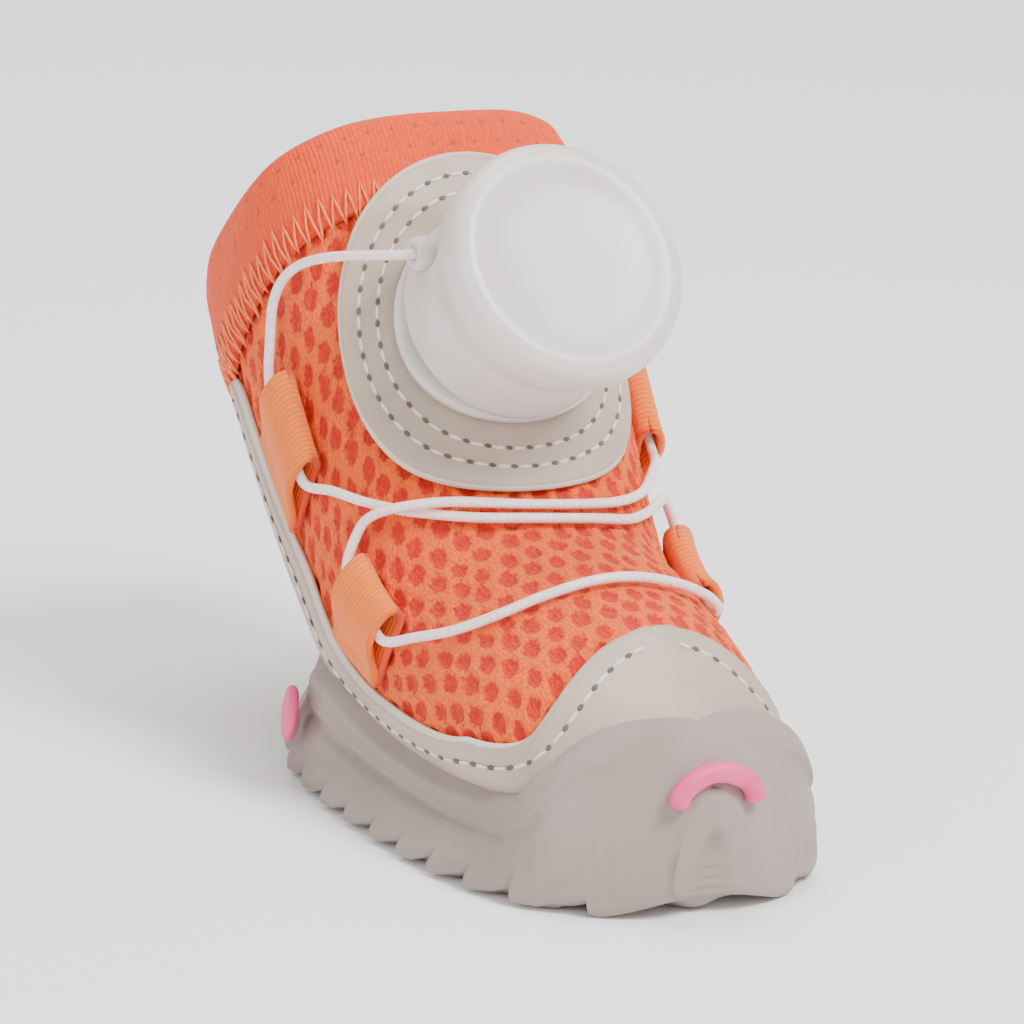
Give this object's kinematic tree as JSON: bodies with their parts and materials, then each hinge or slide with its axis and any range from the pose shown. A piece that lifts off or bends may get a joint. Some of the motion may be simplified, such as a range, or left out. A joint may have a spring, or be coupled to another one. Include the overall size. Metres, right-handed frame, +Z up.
{
  "type": "dog boot",
  "caption": "Dog boot with mesh shaft leaning back over a terraced rubber sole, rand, collar band, lace loops and a lace dial",
  "frame": {"origin": "on the floor under the ball of the foot, on the flat crest of the sole's fourth lug, on the boot's middle plane", "axes": "+X to the wearer's right, -Y towards the toe, +Z up, middle plane x = 0"},
  "size_m": [0.0448, 0.0886, 0.0673],
  "materials": {
    "rubber": "matte moulded greige rubber",
    "coated_fabric": "satin greige coated fabric",
    "air_mesh": "orange knitted air mesh",
    "stretch_cloth": "fine orange stretch knit",
    "webbing": "ribbed orange webbing",
    "milky_plastic": "milky translucent moulded plastic",
    "cord": "off-white braided cord",
    "pink_rubber": "matte pink rubber",
    "footbed": "grey textile footbed"
  },
  "bodies": {
    "root": {"upper": "air_mesh", "outsole": "rubber", "insole": "footbed", "rand": "coated_fabric", "collar_band": "stretch_cloth", "dial_patch": "coated_fabric", "dial_housing": "milky_plastic", "dial_knob": "milky_plastic", "loop_lower_left": "webbing", "loop_lower_right": "webbing", "loop_upper_left": "webbing", "loop_upper_right": "webbing", "lace": "cord", "toe_mark": "pink_rubber", "disc_left": "pink_rubber", "disc_right": "pink_rubber", "disc_rear": "pink_rubber"}
  },
  "joints": []
}
